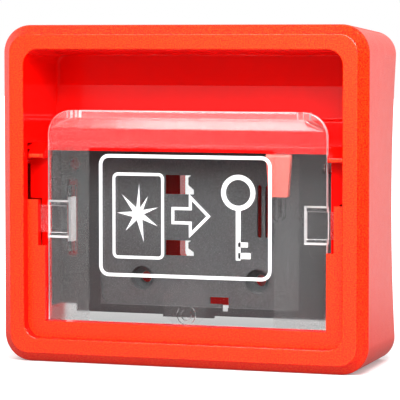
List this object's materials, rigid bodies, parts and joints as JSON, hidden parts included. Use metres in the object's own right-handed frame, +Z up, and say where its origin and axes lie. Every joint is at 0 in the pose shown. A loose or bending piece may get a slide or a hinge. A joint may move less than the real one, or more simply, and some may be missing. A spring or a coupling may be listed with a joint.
{
  "type": "break glass key box",
  "caption": "Red moulded wall box with a finger well over a clear break-out cover, a black chassis behind it and a rear plate for wall screws.",
  "frame": {"origin": "middle of the footprint, at the level of the flat base", "axes": "+X to the right seen from the front, +Y back towards the wall, +Z up"},
  "size_m": [0.14, 0.05, 0.1245],
  "materials": {
    "red_moulding": "fine spark-eroded grain on the face and sides, polished inside the finger well",
    "clear_moulding": "polished middle, frosted border",
    "black_moulding": "fine satin grain",
    "plated_steel": "zinc plated"
  },
  "bodies": {
    "housing": {"front_housing": "red_moulding", "inner_frame": "red_moulding", "frame_screws": "plated_steel", "break_tab_left": "clear_moulding", "break_tab_right": "clear_moulding", "chassis": "black_moulding", "chassis_screws": "plated_steel", "rear_plate": "red_moulding", "plate_screws": "plated_steel"},
    "cover": {"break_cover": "clear_moulding"},
    "finger": {"retaining_finger": "red_moulding"}
  },
  "joints": [
    {"name": "cover_swing", "type": "hinge", "parent": "housing", "child": "cover", "pos_m": [0, -0.019, 0.0153], "axis": [1, 0, 0], "range_deg": [0, 85]},
    {"name": "finger_flex", "type": "hinge", "parent": "housing", "child": "finger", "pos_m": [0.035, -0.0155, 0.0767], "axis": [1, 0, 0], "range_deg": [0, 7], "stiffness_Nm_per_rad": 0.01}
  ]
}
